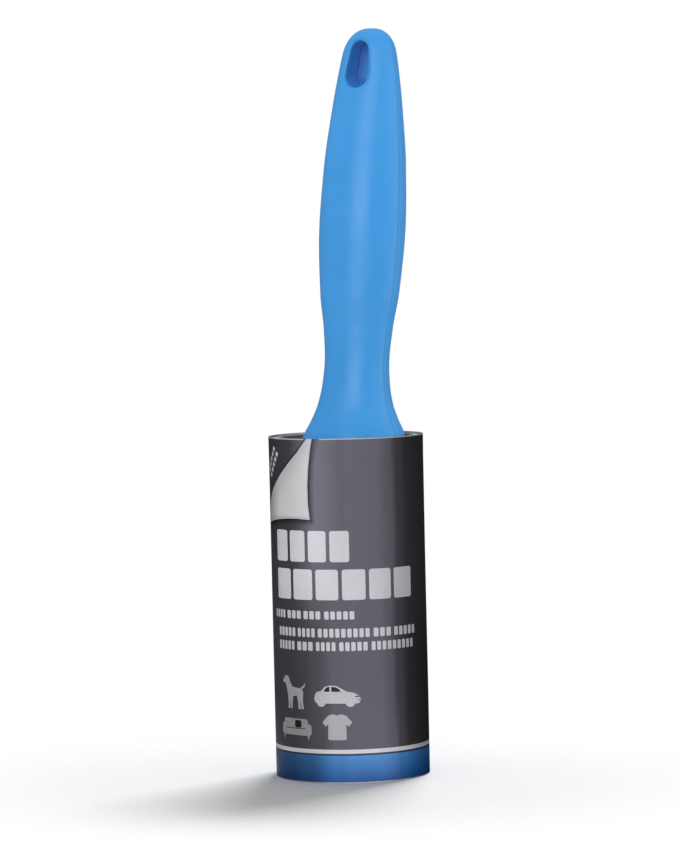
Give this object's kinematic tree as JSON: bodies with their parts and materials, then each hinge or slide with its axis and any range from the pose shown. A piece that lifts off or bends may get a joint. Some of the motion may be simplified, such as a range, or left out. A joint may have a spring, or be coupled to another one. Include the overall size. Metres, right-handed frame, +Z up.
{
  "type": "lint roller",
  "caption": "Hand-held lint roller: a moulded grip with a hang hole, a turning drum, and a slide-on refill of peel-off sticky sheets in a printed cover.",
  "frame": {"origin": "centre of the refill's lower end face, which the roller stands on", "axes": "+Z up the spindle's axis towards the grip; the grip's two shells meet on the plane Y = 0 and the grip leans towards +X; the hang hole runs along Y"},
  "size_m": [0.0461, 0.0459, 0.222],
  "materials": {
    "grip_blue": "moulded blue polypropylene with a soft sheen",
    "natural_plastic": "natural white acetal, unpainted",
    "zinc_steel": "bright zinc plate",
    "cardboard": "spirally wound grey-brown board",
    "sheet_paper": "white coated paper with a tacky outer face",
    "printed_grey": "glossy printed cover, dark grey above a blue band"
  },
  "bodies": {
    "refill": {"cardboard_core": "cardboard", "sheet_01": "sheet_paper", "sheet_02": "sheet_paper", "sheet_03": "sheet_paper", "sheet_04": "sheet_paper", "sheet_05": "sheet_paper", "sheet_06": "sheet_paper", "sheet_07": "sheet_paper", "sheet_08": "sheet_paper", "sheet_09": "sheet_paper", "sheet_10": "sheet_paper", "sheet_11": "sheet_paper", "sheet_12": "sheet_paper", "sheet_13": "sheet_paper", "sheet_14": "sheet_paper", "sheet_15": "sheet_paper", "sheet_16": "sheet_paper", "sheet_17": "sheet_paper", "sheet_18": "sheet_paper", "sheet_19": "sheet_paper", "sheet_20": "sheet_paper", "sheet_21": "sheet_paper", "sheet_22": "sheet_paper", "sheet_23": "sheet_paper", "sheet_24": "sheet_paper", "sheet_25": "sheet_paper", "sheet_26": "sheet_paper", "sheet_27": "sheet_paper", "sheet_28": "sheet_paper", "sheet_29": "sheet_paper", "sheet_30": "sheet_paper"},
    "cover": {"printed_cover": "printed_grey"},
    "drum": {"drum_sleeve": "grip_blue", "drum_end_cap": "grip_blue"},
    "handle": {"grip_front_shell": "grip_blue", "grip_back_shell": "grip_blue", "spindle": "natural_plastic", "thrust_washer": "natural_plastic", "retaining_washer": "zinc_steel", "retaining_screw": "zinc_steel"}
  },
  "joints": [
    {"name": "drum_slide", "type": "slide", "parent": "refill", "child": "drum", "axis": [0, 0, 1], "range_m": [0, 0.115]},
    {"name": "roll_spin", "type": "hinge", "parent": "drum", "child": "handle", "pos_m": [0, 0, 0.05], "axis": [0, 0, 1], "continuous": true},
    {"name": "cover_slide", "type": "slide", "parent": "refill", "child": "cover", "axis": [0, 0, 1], "range_m": [0, 0.105]}
  ]
}
